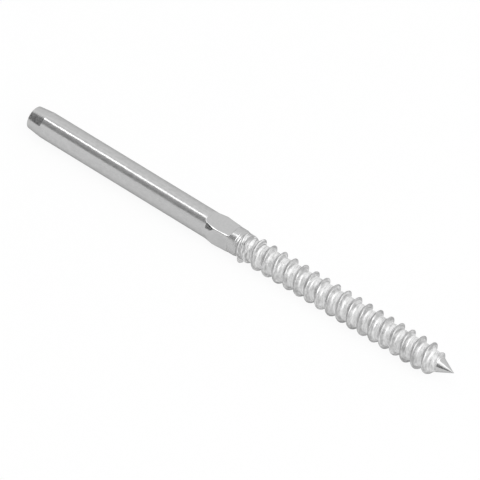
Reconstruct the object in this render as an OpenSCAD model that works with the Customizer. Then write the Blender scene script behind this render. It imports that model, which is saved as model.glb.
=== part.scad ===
// Swage lag screw: an end fitting for wire rope, turned and rolled from one bar.
// It lies along X, with the mouth of the rope bore at the origin and the point at +X.
// The flats of the pressed square face up, down and to the sides.

/* [Overall] */
// Length from the mouth to the point
overall_l = 103.8; // [98:0.2:116]

/* [Swage barrel] */
// Diameter of the barrel before it is swaged
barrel_d = 5.5; // [5.3:0.1:5.7]
// Diameter of the end face round the mouth
mouth_d = 4.8; // [4.4:0.1:5]
// Length of the taper behind the mouth
nose_l = 3.25; // [2:0.05:5]
// Break on the outer edge of the end face
edge_break = 0.12; // [0.05:0.01:0.2]

/* [Wire rope bore] */
// Diameter of the wire rope
rope_d = 2.5; // [2:0.1:2.8]
// Room in the bore, on the diameter
rope_room = 0.25; // [0.1:0.05:0.4]
// Depth of the bore, without the drill's point
bore_l = 38; // [30:1:42]
// Angle of the drill's point
drill_angle = 118; // [90:1:140]
// Depth of the lead-in round the mouth
lead_in = 0.2; // [0.1:0.05:0.3]

/* [Pressed square] */
// Size across the flats
square_af = 4.4; // [4.2:0.1:4.6]
// Distance from the mouth to where the top and bottom dies start
square_at = 43.9; // [43:0.1:46]
// Length of the pressing, up to its shoulder
square_l = 6.3; // [5.8:0.1:7]
// Radius at the end of the top and bottom dies
top_die_r = 1; // [0.8:0.1:3]
// How much further along the front and back dies start
side_step = 2.05; // [0:0.05:3]
// Radius at the end of the front and back dies, which run out more slowly
side_die_r = 4.6; // [1:0.1:5.5]
// Diameter over the corners, where the pressed metal stands proud
corner_d = 5.95; // [5.8:0.05:6.1]

/* [Neck] */
// Length of the full round between the square and the blank
neck_l = 1.85; // [1.5:0.05:4]

/* [Lag thread] */
// Pitch of the thread
pitch = 2.6; // [2.4:0.1:2.8]
// Diameter over the crests
crest_d = 6.06; // [5.8:0.02:6.2]
// Diameter over the last turns, which the rolls leave swollen
last_crest_d = 6.44; // [6.2:0.02:6.5]
// Diameter at the root
core_d = 4.36; // [4:0.02:4.5]
// Diameter of the bar before the thread is rolled
blank_d = 5.12; // [4.8:0.02:5.2]
// Width of the flat on a crest
crest_w = 0.3; // [0.2:0.05:0.5]
// Width of a ridge where it meets the root
ridge_w = 1.42; // [1.2:0.02:1.8]
// Angle of the point
point_angle = 50; // [40:1:70]
// Angle round the axis at which the first full crest starts
thread_clock = 36; // [0:1:359]

/* [Burr at the start of the thread] */
// Diameter over the burr
burr_d = 6.62; // [5.6:0.02:7]
// Width of the burr
burr_w = 1.5; // [0.8:0.1:2]
// Angle round the axis of the burr
burr_clock = 220; // [0:1:359]

/* [Hidden] */

barrel_r = barrel_d / 2;
mouth_r = mouth_d / 2;
bore_r = (rope_d + rope_room) / 2;
square_end = square_at + square_l;
neck_end = square_end + neck_l;
smooth_fn = 96;
// How far a cutter stands clear of the surface that it cuts
overrun = 1;

// The pushed metal starts just past the dies' end, is highest over half way along,
// and falls away shortly before the shoulder
bulge_from = square_at + 0.3;
bulge_to = square_end - 0.6;
bulge_peak = 0.6;
bulge_steps = 14;
// Share of the bulge that is left where it falls away
bulge_left = 0.55;
bulge_h = corner_d / 2 - barrel_r;

// The blank runs bare for a turn, the thread then grows over one turn and a quarter
thread_seat = neck_end - 1.25;
crest_from = neck_end + 0.6;
crest_full = neck_end + 3.9;
root_from = neck_end + 1.5;
root_full = neck_end + 3;
// First full crest, at thread_clock round the axis
first_crest = neck_end + 3.7;
// The burr stands between the first two turns
burr_at = neck_end + 1.33;
// Where the last turns swell, and where the ridge runs out on the point
swell_from = overall_l - 12.2;
swell_full = overall_l - 9.6;
fade_from = overall_l - 5.9;
fade_full = overall_l - 3.5;
point_slope = tan(point_angle / 2);
// The root leans in towards the point
lean_from = overall_l - 6.4;
lean_full = overall_l - 4.6;
lean_h = 0.2;

// The thread's surface is a grid: columns round the axis, and rows that follow the helix
columns = 32;
profile_at = [-0.5 * ridge_w - 0.09, -0.5 * ridge_w + 0.12, -0.5 * crest_w,
              0.5 * crest_w, 0.5 * ridge_w - 0.12, 0.5 * ridge_w + 0.09];
profile_h = [0, 0.17, 1, 1, 0.17, 0];
rows_a_turn = len(profile_at);
turns_before = ceil((first_crest - thread_seat) / pitch) + 1;
turns_after = ceil((overall_l - first_crest) / pitch) + 1;
rows = (turns_before + turns_after) * rows_a_turn;
// Rows nearer than this to an end are drawn into it
end_gap = 0.06;
// The rows end in a ring, and plain facets run from it to the point
point_ring = overall_l - 1.6;

function ramp(x, from, full) = let (u = max(0, min(1, (x - from) / (full - from)))) u * u * (3 - 2 * u);
function mix(a, b, u) = a + (b - a) * u;

// Share of the bulge's height at a share u of its length
function bulge(u) =
    u < bulge_peak ? pow(sin(90 * u / bulge_peak), 2)
                   : mix(1, bulge_left, (u - bulge_peak) / (1 - bulge_peak));

// Root and crest radius of the thread at a distance x from the mouth
function root_r(x) =
    min(mix(blank_d / 2, core_d / 2, ramp(x, root_from, root_full)) - lean_h * ramp(x, lean_from, lean_full),
        (overall_l - x) * point_slope);
function ridge_h(x) =
    mix(crest_d, last_crest_d, ramp(x, swell_from, swell_full)) / 2 - core_d / 2;
function crest_r(x) =
    x < crest_full ? mix(blank_d, crest_d, ramp(x, crest_from, crest_full)) / 2
                   : root_r(x) + ridge_h(x) * (1 - ramp(x, fade_from, fade_full));

// One point of the thread's grid, before the ends are closed
function row_x(row, column) =
    first_crest + (floor(row / rows_a_turn) - turns_before + column / columns) * pitch
    + profile_at[row % rows_a_turn];
function row_r(x, row) = mix(root_r(x), max(root_r(x), crest_r(x)), profile_h[row % rows_a_turn]);
function on_axis(x, r, angle) = [x, r * cos(angle), r * sin(angle)];
function grid_point(row, column) =
    let (x = row == 0 ? thread_seat : row_x(row, column))
    on_axis(x, row_r(x, row), thread_clock + 360 * column / columns);

// Number of a grid point: the last column joins the first one a turn further on,
// rows before the seat close into its ring, and rows past the point's ring close into that
function seated(row, column) = row_x(row, column) < thread_seat + end_gap;
function pointed(row, column) = row_x(row, column) > point_ring - end_gap;
function ring_number(column) = rows * columns + column % columns;
function number(row, column) =
    seated(row, column) ? column % columns
    : pointed(row, column) ? ring_number(column)
    : column == columns ? number(row + rows_a_turn, 0)
    : row * columns + column;

module thread() {
    points = [for (row = [0:rows - 1], column = [0:columns - 1]) grid_point(row, column)];
    quads = [for (row = [0:rows - 2], column = [0:columns - 1])
        [number(row, column), number(row + 1, column), number(row + 1, column + 1), number(row, column + 1)]];
    halves = [for (q = quads, half = [[q[0], q[1], q[2]], [q[0], q[2], q[3]]])
        if (half[0] != half[1] && half[1] != half[2] && half[2] != half[0]) half];
    seat = [for (column = [0:columns - 1]) column];
    ring = [for (column = [0:columns - 1])
        on_axis(point_ring, root_r(point_ring), thread_clock + 360 * column / columns)];
    point = [for (column = [0:columns - 1])
        [ring_number(column + 1), ring_number(column), ring_number(0) + columns]];
    polyhedron(points = concat(points, ring, [[overall_l, 0, 0]]),
               faces = concat([seat], halves, point), convexity = 10);
}

// The turned bar, from the mouth to the end of the neck
module turned_bar() {
    outline = concat(
        [[0, 0], [mouth_r - edge_break, 0], [mouth_r - edge_break * 0.3, edge_break * 0.3],
         [mouth_r, edge_break], [barrel_r, nose_l]],
        [for (k = [0:bulge_steps])
            let (u = k / bulge_steps) [barrel_r + bulge_h * bulge(u), mix(bulge_from, bulge_to, u)]],
        [[barrel_r + 0.02, square_end - 0.15], [barrel_r, square_end], [barrel_r, neck_end - edge_break],
         [barrel_r - edge_break, neck_end], [0, neck_end]]);
    rotate([0, 90, 0]) rotate_extrude($fn = smooth_fn) polygon(outline);
}

// What one die presses away: a flat, its blend into the barrel and its square shoulder
module die(start, die_r) {
    flat_from = start + sqrt(pow(die_r, 2) - pow(die_r - barrel_r + square_af / 2, 2));
    translate([flat_from, -corner_d, square_af / 2]) cube([square_end - flat_from, 2 * corner_d, corner_d]);
    translate([flat_from, 0, square_af / 2 + die_r])
        rotate([90, 0, 0]) cylinder(r = die_r, h = 2 * corner_d, center = true, $fn = smooth_fn);
}

module rope_bore() {
    rotate([0, 90, 0]) {
        translate([0, 0, -overrun]) cylinder(r = bore_r, h = bore_l + overrun, $fn = smooth_fn);
        translate([0, 0, bore_l])
            cylinder(r1 = bore_r, r2 = 0, h = bore_r / tan(drill_angle / 2), $fn = smooth_fn);
        translate([0, 0, -overrun])
            cylinder(r1 = bore_r + lead_in + overrun, r2 = bore_r, h = lead_in + overrun, $fn = smooth_fn);
    }
}

// The lip of metal that the rolls push up in front of the first turn
module burr() {
    rotate([burr_clock, 0, 0]) translate([burr_at, 0, 0]) rotate([-90, 0, 0])
        rotate_extrude($fn = 24)
            polygon([[0, core_d / 2], [burr_w / 2, core_d / 2], [burr_w / 2, blank_d / 2],
                     [burr_w * 0.44, mix(blank_d, burr_d, 0.6) / 2], [burr_w * 0.28, mix(blank_d, burr_d, 0.92) / 2],
                     [0, burr_d / 2]]);
}

module swage_lag_screw() {
    color("silver") {
        difference() {
            turned_bar();
            for (turn = [0, 180]) {
                rotate([turn, 0, 0]) die(square_at, top_die_r);
                rotate([turn + 90, 0, 0]) die(square_at + side_step, side_die_r);
            }
            rope_bore();
        }
        thread();
        burr();
    }
}

swage_lag_screw();
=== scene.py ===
import math

import bmesh
import bpy
from mathutils import Matrix, Vector, noise


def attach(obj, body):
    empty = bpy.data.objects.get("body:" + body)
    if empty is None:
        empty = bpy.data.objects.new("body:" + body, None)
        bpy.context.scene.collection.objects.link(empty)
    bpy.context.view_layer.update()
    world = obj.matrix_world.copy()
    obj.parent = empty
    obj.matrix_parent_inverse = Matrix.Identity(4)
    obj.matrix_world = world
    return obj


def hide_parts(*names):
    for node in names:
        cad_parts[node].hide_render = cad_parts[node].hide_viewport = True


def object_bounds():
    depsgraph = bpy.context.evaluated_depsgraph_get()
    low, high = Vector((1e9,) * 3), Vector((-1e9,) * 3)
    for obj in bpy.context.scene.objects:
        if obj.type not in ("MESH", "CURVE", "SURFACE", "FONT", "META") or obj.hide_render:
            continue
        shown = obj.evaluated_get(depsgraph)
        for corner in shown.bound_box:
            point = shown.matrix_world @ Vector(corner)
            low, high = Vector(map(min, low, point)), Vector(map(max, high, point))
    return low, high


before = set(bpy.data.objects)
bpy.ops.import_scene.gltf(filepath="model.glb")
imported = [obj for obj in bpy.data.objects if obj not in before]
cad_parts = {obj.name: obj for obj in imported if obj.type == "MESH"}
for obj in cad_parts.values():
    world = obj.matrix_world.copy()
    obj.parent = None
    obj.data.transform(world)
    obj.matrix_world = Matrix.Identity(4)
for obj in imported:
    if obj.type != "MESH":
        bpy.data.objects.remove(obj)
cad_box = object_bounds()
MM = 0.001


# The turned bar: one length of drawn stainless rod. The mouth end is turned to a short taper and
# drilled for the wire rope, four dies press a square for a spanner, and a full round neck is left
# behind the square. It is drawn as rings of points round the axis, each at its true radius.

barrel_r = 2.75 * MM
mouth_r = 2.4 * MM
nose_l = 3.25 * MM
edge_break = 0.08 * MM

bore_r = 1.375 * MM
bore_l = 38 * MM
lead_in = 0.2 * MM
drill_slope = math.tan(math.radians(59))
drill_tip = bore_l + bore_r / drill_slope

flat_h = 2.2 * MM
square_end = 50.2 * MM
top_die_r = 1.0 * MM
top_flat_from = 44.8 * MM
side_die_r = 4.6 * MM
side_flat_from = 48.15 * MM
flat_edge_round = 0.08 * MM
# The dies roll the edges of the flats over in a narrow land: its slope, and how far from the axis
# it lies at places along the bar
roll_across = math.cos(math.radians(20.75))
roll_beside = math.sin(math.radians(20.75))
roll_from = ((44.7, 1.6), (47.5, 1.87), (49.5, 1.62), (50.3, 1.6))
# The shoulder at the end of the flats, with the rounded rim that the dies leave: distance, height
shoulder = ((50.2, 2.2), (50.26, 2.5), (50.34, 2.6), (50.5, 2.69), (50.75, 2.74), (51.0, 2.76))
# Radius over the corners, where the dies push the metal out: distance, radius
pushed_out = ((44.7, 2.75), (46.5, 3.0), (47.5, 3.03), (49.5, 2.91), (50.05, 2.8), (50.25, 2.75))

blank_r = 2.56 * MM
# Two small steps lead from the neck down to the blank of the thread: distance, radius
neck_steps = ((51.0, 2.75), (51.7, 2.745), (51.81, 2.665), (52.06, 2.655), (52.32, 2.515), (52.4, 2.515),
              (52.5, 2.56))
blank_from = 52.42 * MM
thread_from = 53.6 * MM
# Pitch of the marks that the rolls leave on the blank, in millimetres, and how many lie in one pitch
marks_pitch = 2.6
marks_a_pitch = 6

columns = 128
column_crowding = 0.68


def column_angle(turn):
    """Angle of a column of points. The columns stand closer together at the corners of the square."""
    angle = 2 * math.pi * turn
    return angle + column_crowding / 4 * math.sin(4 * angle)


def along(points, x):
    """Value at x on a line through points given in millimetres."""
    spot = x / MM
    for (x0, y0), (x1, y1) in zip(points, points[1:]):
        if spot <= x1:
            return MM * (y0 + (y1 - y0) * max(spot - x0, 0) / (x1 - x0))
    return MM * points[-1][1]


def soft_along(points, x, width=0.2 * MM):
    """The same line with its corners eased."""
    return sum(along(points, x + width * (step / 4 - 0.5)) for step in range(5)) / 5


def die_height(x, die_r, flat_from):
    """Height of a die's face over the axis: a flat, with a radius at one end and a shoulder at the other."""
    if x <= flat_from - die_r:
        return 2 * barrel_r
    if x < flat_from:
        return flat_h + die_r - math.sqrt(die_r ** 2 - (flat_from - x) ** 2)
    return along(shoulder, x)


def rounded_min(a, b, size):
    near = max(size - abs(a - b), 0) / size
    return min(a, b) - near * near * size / 4


def under_die(height, x, across, beside):
    """Radius left under one pair of dies: the flat, and the land that it rolls over into."""
    land = roll_across * height + roll_beside * along(roll_from, x)
    flat_r = height / max(across, 0.01)
    land_r = land / (roll_across * across + roll_beside * beside)
    return rounded_min(flat_r, land_r, 0.05 * MM)


def pressed_radius(x, angle):
    """Radius of the pressed bar: what the bar keeps under the top and bottom dies and the side dies."""
    upright = abs(math.sin(angle))
    sideways = abs(math.cos(angle))
    top = under_die(die_height(x, top_die_r, top_flat_from), x, upright, sideways)
    side = under_die(die_height(x, side_die_r, side_flat_from), x, sideways, upright)
    r = soft_along(pushed_out, x)
    return rounded_min(rounded_min(r, top, flat_edge_round), side, flat_edge_round)


def spread(start, end, step):
    n = max(1, round((end - start) / step))
    return [start + (end - start) * i / n for i in range(1, n + 1)]


# Each ring is a place along the axis and a radius, or no radius where the dies shape the bar
rings = [(drill_tip - x * MM, x * MM * drill_slope) for x in (0.12, 0.35, 0.6, 0.8)]
rings += [(bore_l - x, bore_r) for x in [0] + spread(0, bore_l - lead_in - 0.02 * MM, 1.5 * MM)]
rings += [(lead_in, bore_r + 0.01 * MM), (0.02 * MM, bore_r + lead_in - 0.02 * MM)]
rings += [(0, bore_r + lead_in), (0, bore_r + lead_in + 0.05 * MM), (0, mouth_r - edge_break - 0.05 * MM)]
for step in range(7):
    turn = math.pi / 2 * step / 6
    rings.append((edge_break * (1 - math.cos(turn)), mouth_r - edge_break * (1 - math.sin(turn))))
bore_rings = len(rings) - 8
taper = (barrel_r - mouth_r) / (nose_l - edge_break)
rings += [(x, mouth_r + taper * (x - edge_break)) for x in spread(edge_break, nose_l - 0.06 * MM, 0.3 * MM)]
rings += [(nose_l, barrel_r - 0.002 * MM), (nose_l + 0.06 * MM, barrel_r)]
rings += [(x, barrel_r) for x in spread(nose_l + 0.06 * MM, 43.5 * MM, 0.5 * MM)]
for start, end, step in ((43.5, 45.2, 0.06), (45.2, 50.15, 0.12), (50.15, 50.4, 0.02), (50.4, 51.0, 0.06)):
    rings += [(x, None) for x in spread(start * MM, end * MM, step * MM)]
rings += [(x, soft_along(neck_steps, x, 0.05 * MM)) for x in spread(51.0 * MM, 51.6 * MM, 0.2 * MM)]
rings += [(x, soft_along(neck_steps, x, 0.05 * MM)) for x in spread(51.6 * MM, thread_from, 0.035 * MM)]


def drawn_wave(x, angle):
    """The slow unevenness that drawing leaves, longer along the bar than across it."""
    spot = Vector((x / MM * 0.45, math.cos(angle) * 1.7, math.sin(angle) * 1.7))
    return 0.0025 * MM * noise.noise(spot)


def roll_marks(x, angle):
    """Fine ridges along the helix where the rolls first bite the blank, with breaks in them."""
    starts = min(max((x / MM - 52.48) / 0.1, 0), 1)
    ends = min(max((53.6 - x / MM) / 0.15, 0), 1)
    phase = x / MM - marks_pitch * angle / (2 * math.pi)
    breaks = 0.85 + 0.8 * noise.noise(Vector((x / MM, math.cos(angle) * 3, math.sin(angle) * 3)))
    return 0.03 * MM * starts * ends * breaks * math.sin(2 * math.pi * phase / (marks_pitch / marks_a_pitch))


points = [(drill_tip, 0, 0)]
for number, (x, radius) in enumerate(rings):
    for column in range(columns):
        angle = column_angle(column / columns)
        r = pressed_radius(x, angle) if radius is None else radius
        if number > bore_rings and x < thread_from:
            r += drawn_wave(x, angle) + roll_marks(x, angle)
        points.append((x, r * math.cos(angle), r * math.sin(angle)))

faces = [(0, 1 + (column + 1) % columns, 1 + column) for column in range(columns)]
for ring in range(len(rings) - 1):
    here = 1 + ring * columns
    there = here + columns
    for column in range(columns):
        beside = (column + 1) % columns
        faces.append((here + column, here + beside, there + beside, there + column))

bar_mesh = bpy.data.meshes.new("turned_bar")
bar_mesh.from_pydata(points, [], faces)
bar = bpy.data.objects.new("turned_bar", bar_mesh)
bpy.context.scene.collection.objects.link(bar)


# The steel of the bar: the same stainless all over, and each way of working it leaves its own surface.
# The drawn barrel is bright with a faint mottle, the drilled bore is scored in rings, and the pressed
# flats and the ground point are smooth.

def add_node(tree, kind, *inputs, **settings):
    """Adds a node, sets its choices, then links or sets its inputs in order."""
    new = tree.nodes.new(kind)
    for name, value in settings.items():
        setattr(new, name, value)
    for socket, value in zip(new.inputs, inputs):
        if isinstance(value, bpy.types.NodeSocket):
            tree.links.new(value, socket)
        elif value is not None:
            socket.default_value = value
    return new


def sums(tree, operation, *inputs):
    return add_node(tree, "ShaderNodeMath", *inputs, operation=operation).outputs[0]


def map_range(tree, value, low, high, to_low, to_high, smooth=False):
    kind = "SMOOTHSTEP" if smooth else "LINEAR"
    new = add_node(tree, "ShaderNodeMapRange", value, low, high, to_low, to_high, interpolation_type=kind)
    return new.outputs[0]


def speckle(tree, where, scale, detail=3.0, rough=0.55, stretch=(1, 1, 1)):
    """A noise value, in features per millimetre of the piece."""
    spaced = add_node(tree, "ShaderNodeVectorMath", where, operation="MULTIPLY")
    spaced.inputs[1].default_value = [s * scale / MM for s in stretch]
    grain = add_node(tree, "ShaderNodeTexNoise")
    tree.links.new(spaced.outputs[0], grain.inputs["Vector"])
    grain.inputs["Scale"].default_value = 1
    grain.inputs["Detail"].default_value = detail
    grain.inputs["Roughness"].default_value = rough
    return grain.outputs["Fac"]


def steel(name):
    """A stainless surface, with its shader ready for the marks of how it was worked."""
    material = bpy.data.materials.new(name)
    material.use_nodes = True
    tree = material.node_tree
    shader = tree.nodes["Principled BSDF"]
    shader.inputs["Metallic"].default_value = 1
    shader.inputs["Specular Tint"].default_value = (0.62, 0.62, 0.62, 1)
    where = tree.nodes.new("ShaderNodeTexCoord").outputs["Object"]
    return material, tree, shader, where


def tint(tree, shader, value, dark, light):
    """Shades the metal between two greys."""
    grey = map_range(tree, value, 0.3, 0.7, dark, light)
    colour = add_node(tree, "ShaderNodeCombineColor", grey, grey, grey)
    tree.links.new(colour.outputs[0], shader.inputs["Base Color"])


def dull(tree, shader, value, smooth, rough):
    """Varies the roughness between two values."""
    tree.links.new(map_range(tree, value, 0.3, 0.7, smooth, rough), shader.inputs["Roughness"])


def bump(tree, shader, height, depth):
    new = add_node(tree, "ShaderNodeBump")
    new.inputs["Strength"].default_value = 1
    new.inputs["Distance"].default_value = depth
    tree.links.new(height, new.inputs["Height"])
    tree.links.new(new.outputs[0], shader.inputs["Normal"])


drawn_steel, tree, shader, where = steel("drawn_steel")
mottle = speckle(tree, where, 1.4, 3, 0.65, (0.7, 1, 1))
place = add_node(tree, "ShaderNodeSeparateXYZ", where).outputs[0]
mouth_side = map_range(tree, place, 3 * MM, 30 * MM, -0.25, 0.1)
dullness = sums(tree, "MULTIPLY_ADD", mottle, 1.5, sums(tree, "SUBTRACT", mouth_side, 0.25))
dull(tree, shader, dullness, 0.05, 0.24)
tint(tree, shader, mottle, 0.48, 0.545)
bump(tree, shader, mottle, 0.014 * MM)

turned_steel, tree, shader, where = steel("turned_steel")
blotches = speckle(tree, where, 1.3, 3, 0.6, (0.8, 1, 1))
scratches = speckle(tree, where, 3.5, 2, 0.5, (0.1, 1, 1))
place = add_node(tree, "ShaderNodeSeparateXYZ", where).outputs[0]
neck_side = map_range(tree, place, 5 * MM, 50 * MM, -0.14, 0.08)
dull(tree, shader, sums(tree, "ADD", blotches, neck_side), 0.1, 0.3)
tint(tree, shader, blotches, 0.5, 0.525)
bump(tree, shader, sums(tree, "MULTIPLY_ADD", scratches, 1.0, blotches), 0.013 * MM)

drilled_steel, tree, shader, where = steel("drilled_steel")
scores = speckle(tree, where, 5, 2, 0.5, (1, 0.05, 0.05))
dull(tree, shader, scores, 0.25, 0.4)
tint(tree, shader, scores, 0.42, 0.5)
bump(tree, shader, scores, 0.012 * MM)

pressed_steel, tree, shader, where = steel("pressed_steel")
grain = speckle(tree, where, 2.2, 3, 0.55)
dull(tree, shader, grain, 0.08, 0.16)
tint(tree, shader, grain, 0.51, 0.54)
bump(tree, shader, grain, 0.0006 * MM)

pointed_steel, tree, shader, where = steel("pointed_steel")
grain = speckle(tree, where, 2.5, 2, 0.5)
dull(tree, shader, grain, 0.08, 0.16)
tint(tree, shader, grain, 0.52, 0.56)
bump(tree, shader, grain, 0.001 * MM)

# The lag thread: rolled on the bar in one pass, right-handed, so the metal is pushed out of the root
# into the ridge. The ridge grows out of the bare blank over a turn, swells at the last turns, and
# runs out on the point. A strip as wide as the pitch is wound round the axis to draw it.

pitch = 2.6 * MM
screw_l = 103.8 * MM
first_crest = 55.75 * MM
thread_clock = 36 / 360
turns_before = 3
turns = turns_before + math.ceil((screw_l - first_crest) / pitch) + 1
strip_rows = 22

thread_sizes = {
    "Pitch": pitch,
    "Blank Radius": blank_r,
    "Root Radius": 2.18 * MM,
    "Crest Radius": 3.03 * MM,
    "Swell": 0.05 * MM,
    "Last Swell": 0.1 * MM,
    "Length": screw_l,
    "Point Slope": math.tan(math.radians(25)),
    "Seam": thread_from,
    "Unevenness": 0.035 * MM,
    "Start Marks": 0.08 * MM,
    "Start Ridges": 0.045 * MM,
    "Crest Fold": 0.1 * MM,
}

rolled_steel, tree, shader, where = steel("rolled_steel")
from_crest = add_node(tree, "ShaderNodeAttribute", attribute_name="from_crest").outputs["Fac"]
grain = speckle(tree, where, 2, 3, 0.6)
# Towards the roots the thread is rougher. Its grey is also painted lighter there and darker on the crests: a
# painted sheen that stands in for the broad bright reflection in the roots
root_rough_and_sheen = map_range(tree, from_crest, 0.05, 0.38, 0.0, 1.0, smooth=True)
place = add_node(tree, "ShaderNodeSeparateXYZ", where).outputs
root_rough_and_sheen = sums(tree, "MULTIPLY", root_rough_and_sheen, map_range(tree, place[0], 53.6 * MM, 55.6 * MM, 0.0, 1.0, smooth=True))

# The rolls drag fine hairs along the helix: the place across the helix closes into a small circle,
# as long round as one pitch, and the noise drifts slowly along it
hair_circle = 0.41 * MM
hair_drift = 0.14
roll = sums(tree, "MULTIPLY", place[0], 2 * math.pi / pitch)
roll = sums(tree, "SUBTRACT", roll, sums(tree, "ARCTAN2", place[2], place[1]))
circle = add_node(tree, "ShaderNodeCombineXYZ", sums(tree, "COSINE", roll), sums(tree, "SINE", roll))
circle = add_node(tree, "ShaderNodeVectorMath", circle.outputs[0], (hair_circle,) * 3, operation="MULTIPLY")
drift = add_node(tree, "ShaderNodeVectorMath", where, (hair_drift,) * 3, circle.outputs[0],
                 operation="MULTIPLY_ADD")
hairs = speckle(tree, drift.outputs[0], 4.4, 2, 0.55)

# They are strongest where the rolls first bite
first_bite = map_range(tree, place[0], 52.4 * MM, 52.6 * MM, 0.0, 1.0, smooth=True)
bite_fades = map_range(tree, place[0], 54.6 * MM, 58 * MM, 1.0, 0.2, smooth=True)
first_bite = sums(tree, "MULTIPLY", first_bite, bite_fades)

rough = sums(tree, "ADD", grain, sums(tree, "MULTIPLY", root_rough_and_sheen, 0.5))
rough = map_range(tree, rough, 0.3, 1.1, 0.32, 0.68)
rough = sums(tree, "MULTIPLY_ADD", first_bite, 0.08, rough)
tree.links.new(rough, shader.inputs["Roughness"])
patches = speckle(tree, where, 0.9, 2, 0.5)
grain_mark = sums(tree, "MULTIPLY_ADD", patches, 0.45, sums(tree, "MULTIPLY", grain, 0.35))
marked = sums(tree, "MULTIPLY_ADD", hairs, 0.35, sums(tree, "SUBTRACT", grain_mark, 0.2))
marked = sums(tree, "MULTIPLY_ADD", first_bite, sums(tree, "MULTIPLY_ADD", hairs, 2.4, -1.17), marked)
# The grey follows the marks, and the painted sheen lightens the roots to a pale grey and leaves the crests
# darker
tint(tree, shader, sums(tree, "MULTIPLY_ADD", root_rough_and_sheen, 0.27, marked), 0.445, 0.85)
hair_height = sums(tree, "MULTIPLY", hairs, sums(tree, "MULTIPLY_ADD", first_bite, 1.9, 0.5))
bump(tree, shader, sums(tree, "ADD", hair_height, grain), 0.055 * MM)

# The burr is torn metal, which no die or roll has smoothed. Its grey is painted lighter than the rest of the
# steel: painted light that lifts its underside out of the shade it lies in
burr_steel_painted_lighter, tree, shader, where = steel("burr_steel_painted_lighter")
grain = speckle(tree, where, 1.6, 3, 0.55)
dull(tree, shader, grain, 0.36, 0.5)
tint(tree, shader, grain, 0.56, 0.68)
bump(tree, shader, grain, 0.03 * MM)

# Each face of the bar takes the steel of its stretch
pressed_from = 44.3 * MM
bar_steels = [drawn_steel, drilled_steel, pressed_steel, turned_steel, rolled_steel]
for material in bar_steels:
    bar_mesh.materials.append(material)
for number, face in enumerate(bar_mesh.polygons):
    face.use_smooth = True
    if number < bore_rings * columns:
        face.material_index = bar_steels.index(drilled_steel)
    elif face.center.x > blank_from:
        face.material_index = bar_steels.index(rolled_steel)
    elif pressed_from < face.center.x < square_end:
        face.material_index = bar_steels.index(pressed_steel)
    elif face.center.x < nose_l or face.center.x > square_end:
        face.material_index = bar_steels.index(turned_steel)

tree = bpy.data.node_groups.new("lag_thread", "GeometryNodeTree")
tree.is_modifier = True
tree.interface.new_socket("Geometry", in_out="OUTPUT", socket_type="NodeSocketGeometry")
thread_sockets = {}
for name in thread_sizes:
    thread_sockets[name] = tree.interface.new_socket(name, in_out="INPUT", socket_type="NodeSocketFloat")
given = tree.nodes.new("NodeGroupInput").outputs
strip = add_node(tree, "GeometryNodeMeshGrid", 1.0, 1.0, turns * columns + 1, strip_rows + 1)
place = add_node(tree, "ShaderNodeSeparateXYZ", tree.nodes.new("GeometryNodeInputPosition").outputs[0])

# Along the strip is the angle round the axis, crowded as the bar's columns are
angle = sums(tree, "MULTIPLY", sums(tree, "ADD", place.outputs[0], 0.5), 2 * math.pi * turns)
crowd = sums(tree, "SINE", sums(tree, "MULTIPLY", angle, 4.0))
angle = sums(tree, "MULTIPLY_ADD", crowd, column_crowding / 4, angle)

# Across the strip is the distance from the crest, with the points closest at the ridge
across = sums(tree, "MULTIPLY", place.outputs[1], 2.0)
cubed = sums(tree, "POWER", sums(tree, "ABSOLUTE", across), 3.0)
cubed = sums(tree, "MULTIPLY", cubed, sums(tree, "SIGN", across))
across = sums(tree, "MULTIPLY_ADD", across, 0.6, sums(tree, "MULTIPLY", cubed, 0.4))
from_crest = sums(tree, "MULTIPLY", sums(tree, "MULTIPLY", across, 0.5), given["Pitch"])
distance = sums(tree, "ABSOLUTE", from_crest)

turn = sums(tree, "SUBTRACT", sums(tree, "DIVIDE", angle, 2 * math.pi), thread_clock + turns_before)
crest_x = sums(tree, "MULTIPLY_ADD", turn, given["Pitch"], first_crest)
x = sums(tree, "ADD", crest_x, from_crest)
x = sums(tree, "MINIMUM", sums(tree, "MAXIMUM", x, given["Seam"]), given["Length"])


def blend(start, end, low, high):
    """A value that eases from low to high between two places along the screw."""
    return map_range(tree, x, start * MM, end * MM, low, high, smooth=True)


root = blend(53.55, 55.05, given["Blank Radius"], given["Root Radius"])
crest = sums(tree, "ADD", given["Crest Radius"], blend(72, 76, 0.0, given["Swell"]))
crest = sums(tree, "ADD", crest, blend(91.6, 94.2, 0.0, given["Last Swell"]))
crest = blend(53.6, 56.2, given["Blank Radius"], crest)
ridge_h = sums(tree, "MULTIPLY", sums(tree, "SUBTRACT", crest, root), blend(97.9, 101.4, 1.0, 0.0))
root = sums(tree, "SUBTRACT", root, blend(97.4, 99.2, 0.0, 0.2 * MM))
cone = sums(tree, "MULTIPLY", sums(tree, "SUBTRACT", given["Length"], x), given["Point Slope"])
root = sums(tree, "MINIMUM", root, cone)

# Section of the ridge: height by distance from the crest, with a round top and a filleted foot
section = tree.nodes.new("ShaderNodeFloatCurve")
curve = section.mapping.curves[0]
curve.points[0].location = (0, 1)
curve.points[1].location = (1, 0)
for point in ((0.1, 0.985), (0.2, 0.89), (0.3, 0.725), (0.425, 0.5), (0.6, 0.19), (0.7, 0.06), (0.85, 0)):
    curve.points.new(*point)
section.mapping.update()
tree.links.new(sums(tree, "DIVIDE", distance, MM), section.inputs["Value"])
radius = sums(tree, "MULTIPLY_ADD", section.outputs[0], ridge_h, root)
radius = sums(tree, "MINIMUM", radius, sums(tree, "ADD", cone, blend(99.9, 100.4, 1 * MM, 0.0)))


def on_axis(r):
    """The point at radius r, at this angle and place along the screw."""
    y = sums(tree, "MULTIPLY", sums(tree, "COSINE", angle), r)
    z = sums(tree, "MULTIPLY", sums(tree, "SINE", angle), r)
    return add_node(tree, "ShaderNodeCombineXYZ", x, y, z).outputs[0]


def grow(value, size, *shares):
    """Adds a height to a radius, scaled by shares from 0 to 1."""
    for share in shares:
        size = sums(tree, "MULTIPLY", size, share)
    return sums(tree, "ADD", value, size)


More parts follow.
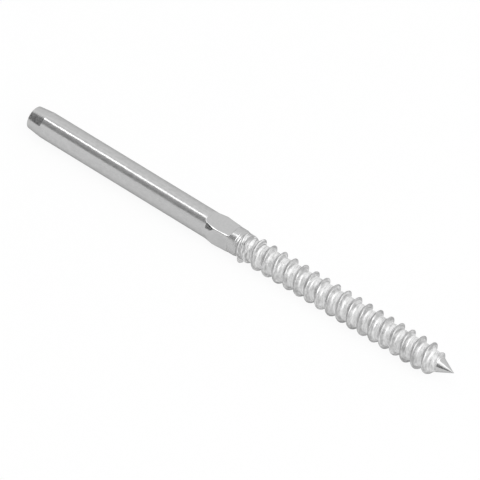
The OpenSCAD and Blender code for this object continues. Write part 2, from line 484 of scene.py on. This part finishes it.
# The rolls leave the root and the flanks a little uneven, cut ridges where they first bite, and fold
# the crests of the later turns
wavy = sums(tree, "SUBTRACT", speckle(tree, on_axis(radius), 0.55, 2, 0.5), 0.5)
radius = grow(radius, given["Unevenness"], wavy, blend(53.6, 54.2, 0.0, 1.0), blend(99.8, 100.8, 1.0, 0.0))
phase_x = sums(tree, "MULTIPLY", x, marks_a_pitch * 2 * math.pi / pitch)
phase = sums(tree, "SUBTRACT", phase_x, sums(tree, "MULTIPLY", angle, float(marks_a_pitch)))
breaks = map_range(tree, speckle(tree, on_axis(radius), 0.8, 2, 0.5), 0.35, 0.65, 0.1, 1.0)
radius = grow(radius, given["Start Ridges"], sums(tree, "SINE", phase), breaks, blend(53.6, 53.75, 0.0, 1.0),
              blend(54.6, 56.6, 1.0, 0.0))
streaks = sums(tree, "SUBTRACT", speckle(tree, on_axis(radius), 1, 2, 0.5, (1.9, 0.6, 0.6)), 0.5)
radius = grow(radius, given["Start Marks"], streaks, blend(53.6, 54, 0.0, 1.0), blend(55, 57.5, 1.0, 0.25),
              blend(99.5, 100.3, 1.0, 0.0))
wander = sums(tree, "SUBTRACT", speckle(tree, on_axis(radius), 0.6, 2, 0.5), 0.5)
beside = sums(tree, "MULTIPLY_ADD", wander, 0.3 * MM, sums(tree, "ADD", from_crest, 0.1 * MM))
fold = map_range(tree, sums(tree, "ABSOLUTE", beside), 0.0, 0.1 * MM, -1.0, 0.0)
patchy = map_range(tree, speckle(tree, on_axis(radius), 0.4, 2, 0.5), 0.35, 0.6, 0.1, 1.0)
radius = grow(radius, given["Crest Fold"], fold, patchy, blend(62, 68, 0.0, 1.0), blend(97.9, 99.5, 1.0, 0.0))

mark = add_node(tree, "GeometryNodeStoreNamedAttribute", data_type="FLOAT", domain="POINT")
tree.links.new(strip.outputs["Mesh"], mark.inputs["Geometry"])
mark.inputs["Name"].default_value = "from_crest"
tree.links.new(sums(tree, "DIVIDE", distance, given["Pitch"]), mark.inputs["Value"])
wind = tree.nodes.new("GeometryNodeSetPosition")
tree.links.new(mark.outputs[0], wind.inputs["Geometry"])
tree.links.new(on_axis(radius), wind.inputs["Position"])
close = tree.nodes.new("GeometryNodeMergeByDistance")
tree.links.new(wind.outputs[0], close.inputs["Geometry"])
close.inputs["Distance"].default_value = 0.001 * MM
smooth = tree.nodes.new("GeometryNodeSetShadeSmooth")
tree.links.new(close.outputs[0], smooth.inputs[0])
realize = tree.nodes.new("GeometryNodeRealizeInstances")
tree.links.new(smooth.outputs[0], realize.inputs[0])
paint = tree.nodes.new("GeometryNodeSetMaterial")
tree.links.new(realize.outputs[0], paint.inputs["Geometry"])
paint.inputs["Material"].default_value = rolled_steel
result = tree.nodes.new("NodeGroupOutput")
tree.links.new(paint.outputs[0], result.inputs[0])

strip_object = bpy.data.objects.new("lag_thread_strip", bpy.data.meshes.new("lag_thread_strip"))
bpy.context.scene.collection.objects.link(strip_object)
rolling = strip_object.modifiers.new("rolling", "NODES")
rolling.node_group = tree
for name, value in thread_sizes.items():
    rolling[thread_sockets[name].identifier] = value
bpy.context.view_layer.update()
rolled = strip_object.evaluated_get(bpy.context.evaluated_depsgraph_get())
thread_mesh = bpy.data.meshes.new_from_object(rolled)
bpy.data.objects.remove(strip_object)

thread_mesh.materials.clear()
for material in (rolled_steel, pointed_steel):
    thread_mesh.materials.append(material)
ground_from = 100.45 * MM
for face in thread_mesh.polygons:
    face.material_index = 1 if face.center.x > ground_from else 0
thread = bpy.data.objects.new("lag_thread", thread_mesh)
bpy.context.scene.collection.objects.link(thread)


# The burr: a lip of metal that the rolls push up in front of the first turn, on the underside.
# It is the same steel, torn and dull, and is drawn as a small uneven lump half sunk in the bar.

burr_x = 53.2 * MM
burr_clock = math.radians(227)
# Distance of its middle from the axis, and its half sizes outwards, along the screw and round it
burr_out = 2.42
burr_high, burr_long, burr_wide = 0.95, 0.82, 0.5
burr_uneven = 0.16
lump = bmesh.new()
bmesh.ops.create_icosphere(lump, subdivisions=4, radius=1)
for vert in lump.verts:
    uneven = 1 + burr_uneven * noise.noise(vert.co * 1.7 + Vector((3, 1, 4)))
    out = vert.co.x * burr_high * uneven + burr_out
    x = vert.co.y * burr_long * uneven
    aside = vert.co.z * burr_wide * uneven
    vert.co = Vector((burr_x + x * MM,
                      MM * (out * math.cos(burr_clock) - aside * math.sin(burr_clock)),
                      MM * (out * math.sin(burr_clock) + aside * math.cos(burr_clock))))
burr_mesh = bpy.data.meshes.new("burr")
lump.to_mesh(burr_mesh)
lump.free()
burr_mesh.materials.append(burr_steel_painted_lighter)
for face in burr_mesh.polygons:
    face.use_smooth = True
burr = bpy.data.objects.new("burr", burr_mesh)
bpy.context.scene.collection.objects.link(burr)


# The bar and its thread are one piece of metal, so their meshes are joined and closed at the blank.

bpy.ops.object.select_all(action="DESELECT")
for piece in (bar, thread, burr):
    piece.select_set(True)
bpy.context.view_layer.objects.active = bar
bpy.ops.object.join()
bar.name = "swage_lag_screw_skin"
whole = bmesh.new()
whole.from_mesh(bar.data)
bmesh.ops.remove_doubles(whole, verts=whole.verts, dist=0.001 * MM)
bmesh.ops.recalc_face_normals(whole, faces=whole.faces)
whole.to_mesh(bar.data)
whole.free()

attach(bar, "root")
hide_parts("swage_lag_screw")


# The floor: a plain white sheet that the screw lies on, with its soft shadow left in.

floor_z = cad_box[0][2] - 0.01 * MM
floor_reach = 6
floor_mesh = bpy.data.meshes.new("floor")
corners = [(x * floor_reach, y * floor_reach, floor_z) for x, y in ((-1, -1), (1, -1), (1, 1), (-1, 1))]
floor_mesh.from_pydata(corners, [], [(0, 1, 2, 3)])
floor = bpy.data.objects.new("floor", floor_mesh)
bpy.context.scene.collection.objects.link(floor)
white = bpy.data.materials.new("white_sheet")
white.use_nodes = True
tree = white.node_tree
sheet = tree.nodes["Principled BSDF"]
sheet.inputs["Base Color"].default_value = (0.9, 0.9, 0.9, 1)
sheet.inputs["Roughness"].default_value = 0.9
sheet.inputs["Specular IOR Level"].default_value = 0.1
glow = add_node(tree, "ShaderNodeEmission")
glow.inputs["Color"].default_value = (1, 1, 1, 1)
seen = tree.nodes.new("ShaderNodeLightPath")
share = sums(tree, "MULTIPLY", seen.outputs["Is Camera Ray"], 0.92)
share = sums(tree, "MULTIPLY_ADD", seen.outputs["Is Glossy Ray"], 0.5, share)
mixed = add_node(tree, "ShaderNodeMixShader", share, sheet.outputs[0], glow.outputs[0])
tree.links.new(mixed.outputs[0], tree.nodes["Material Output"].inputs["Surface"])
floor_mesh.materials.append(white)


# The camera: a long lens at the photograph's angle, with the axis of the screw falling across the frame.

towards_point = math.radians(26)
above_front = math.radians(52.5)
axis_fall = math.radians(31.4)
camera_distance = 1587 * MM
scale_px_mm = 5.263
frame_px = 480
middle = Vector((51.54 * MM, 0, 0))
middle_px = (240.09, 242.64)

view = Vector((math.sin(towards_point),
               -math.cos(towards_point) * math.cos(above_front),
               math.cos(towards_point) * math.sin(above_front)))
below = Vector((0, -math.sin(above_front), -math.cos(above_front)))
along_screw = (Vector((1, 0, 0)) - view * math.sin(towards_point)).normalized()
right = along_screw * math.cos(axis_fall) - below * math.sin(axis_fall)
up = -along_screw * math.sin(axis_fall) - below * math.cos(axis_fall)
px = MM / scale_px_mm
look_at = middle + right * (frame_px / 2 - middle_px[0]) * px + up * (middle_px[1] - frame_px / 2) * px

camera_data = bpy.data.cameras.new("camera")
camera_data.sensor_width = 36
camera_data.lens = 36 * (camera_distance / MM) * scale_px_mm / frame_px
camera_data.clip_end = 20
camera = bpy.data.objects.new("camera", camera_data)
bpy.context.scene.collection.objects.link(camera)
turn_to = Matrix((right, up, view)).transposed().to_4x4()
camera.matrix_world = Matrix.Translation(look_at + view * camera_distance) @ turn_to
bpy.context.scene.camera = camera


# The light: an even white room, a long soft lamp above the camera with a faint one beside it, two
# wider lamps towards the point, and dark cloth behind the camera, which the bright steel shows as
# its dark band.

world = bpy.data.worlds.new("white_room")
world.use_nodes = True
tree = world.node_tree
room = tree.nodes["Background"]
seen = tree.nodes.new("ShaderNodeLightPath")
shown = sums(tree, "MAXIMUM", seen.outputs["Is Camera Ray"], seen.outputs["Is Glossy Ray"])
level = map_range(tree, shown, 0.0, 1.0, 0.8, 1.0)
shade = add_node(tree, "ShaderNodeCombineColor", level, level, level)
tree.links.new(shade.outputs[0], room.inputs["Color"])
room.inputs["Strength"].default_value = 1
bpy.context.scene.world = world


def round_screw(azimuth, axial, gap):
    """A place at a gap from the screw's axis, by degrees below the camera and share towards the point."""
    around = above_front - math.radians(azimuth)
    along_x = gap * math.tan(math.asin(axial))
    return middle + Vector((along_x, -gap * math.cos(around), gap * math.sin(around)))


def lamp(name, azimuth, width, axial_from, axial_to, radiance, gap=2.0):
    """A soft lamp that faces the screw, sized by the angles that it covers as the screw sees them."""
    ends = [round_screw(azimuth, axial, gap) for axial in (axial_from, axial_to)]
    if axial_from > 0:
        ends = [middle + (end - middle).normalized() * gap for end in ends]
    centre = (ends[0] + ends[1]) / 2
    long_way = (ends[1] - ends[0]).normalized()
    out = centre - middle
    out = (out - long_way * out.dot(long_way)).normalized()
    data = bpy.data.lights.new(name, "AREA")
    data.shape = "RECTANGLE"
    data.size = (ends[1] - ends[0]).length
    data.size_y = math.hypot(centre.y, centre.z) * math.radians(width)
    data.energy = radiance * math.pi * data.size * data.size_y
    light = bpy.data.objects.new(name, data)
    bpy.context.scene.collection.objects.link(light)
    facing = Matrix((long_way, out.cross(long_way), out)).transposed().to_4x4()
    light.matrix_world = Matrix.Translation(centre) @ facing


lamp("long_lamp", -33.5, 9.5, -0.58, 0.1, 1.9)
lamp("side_lamp", -61, 8, -0.7, -0.2, 0.13)
lamp("end_lamp", -22, 46, 0.26, 0.44, 1.5)
lamp("point_lamp", -27, 74, 0.54, 0.85, 3.1)

# Greys of the cloth from top to bottom, and its rows: share towards the point, top and bottom in
# degrees below the camera, and greys
deep = (0.5, 0.32, 0.26, 0.26, 0.3)
shaded = (1, 0.9, 0.85, 0.85, 0.9)
wedge = (0.7, 0.6, 0.5, 0.45, 0.5)
turned = (0.6, 0.25, 0.1, 0.06, 0.06, 0.06, 0.28, 0.06, 0.1)
band = (0.85, 0.7, 0.56, 0.52, 0.95)
cloth_rows = ((-0.97, -40, 60, shaded), (-0.86, -40, 60, shaded),
              (-0.7, -36, 60, wedge), (-0.655, -34, 60, wedge),
              (-0.635, -40, 43, turned), (-0.6, -40, 43, turned), (-0.57, -26, 34, turned),
              (-0.545, -24, 17, band), (0.1, -24, 17, band),
              (0.24, 3, 70, deep), (0.46, 4, 77, deep))
cloth_gap = 2.2
cloth_steps = 16
cloth_points = []
cloth_faces = []
cloth_greys = []
for row, (axial, top, bottom, greys) in enumerate(cloth_rows):
    for step in range(cloth_steps + 1):
        share = step / cloth_steps
        cloth_points.append(round_screw(top + (bottom - top) * share, axial, cloth_gap))
        spot = share * (len(greys) - 1)
        part = min(int(spot), len(greys) - 2)
        cloth_greys.append(greys[part] + (greys[part + 1] - greys[part]) * (spot - part))
        if row and step:
            last = row * (cloth_steps + 1) + step
            cloth_faces.append((last - cloth_steps - 2, last - cloth_steps - 1, last, last - 1))
cloth_mesh = bpy.data.meshes.new("dark_cloth")
cloth_mesh.from_pydata(cloth_points, [], cloth_faces)
cloth_mesh.attributes.new("grey", "FLOAT", "POINT").data.foreach_set("value", cloth_greys)
cloth = bpy.data.objects.new("dark_cloth", cloth_mesh)
bpy.context.scene.collection.objects.link(cloth)
dark = bpy.data.materials.new("dark_cloth")
dark.use_nodes = True
tree = dark.node_tree
grey = add_node(tree, "ShaderNodeAttribute", attribute_name="grey").outputs["Fac"]
colour = add_node(tree, "ShaderNodeCombineColor", grey, grey, grey)
tree.links.new(colour.outputs[0], tree.nodes["Principled BSDF"].inputs["Base Color"])
tree.nodes["Principled BSDF"].inputs["Roughness"].default_value = 1
cloth_mesh.materials.append(dark)

bpy.context.scene.view_settings.view_transform = "Standard"
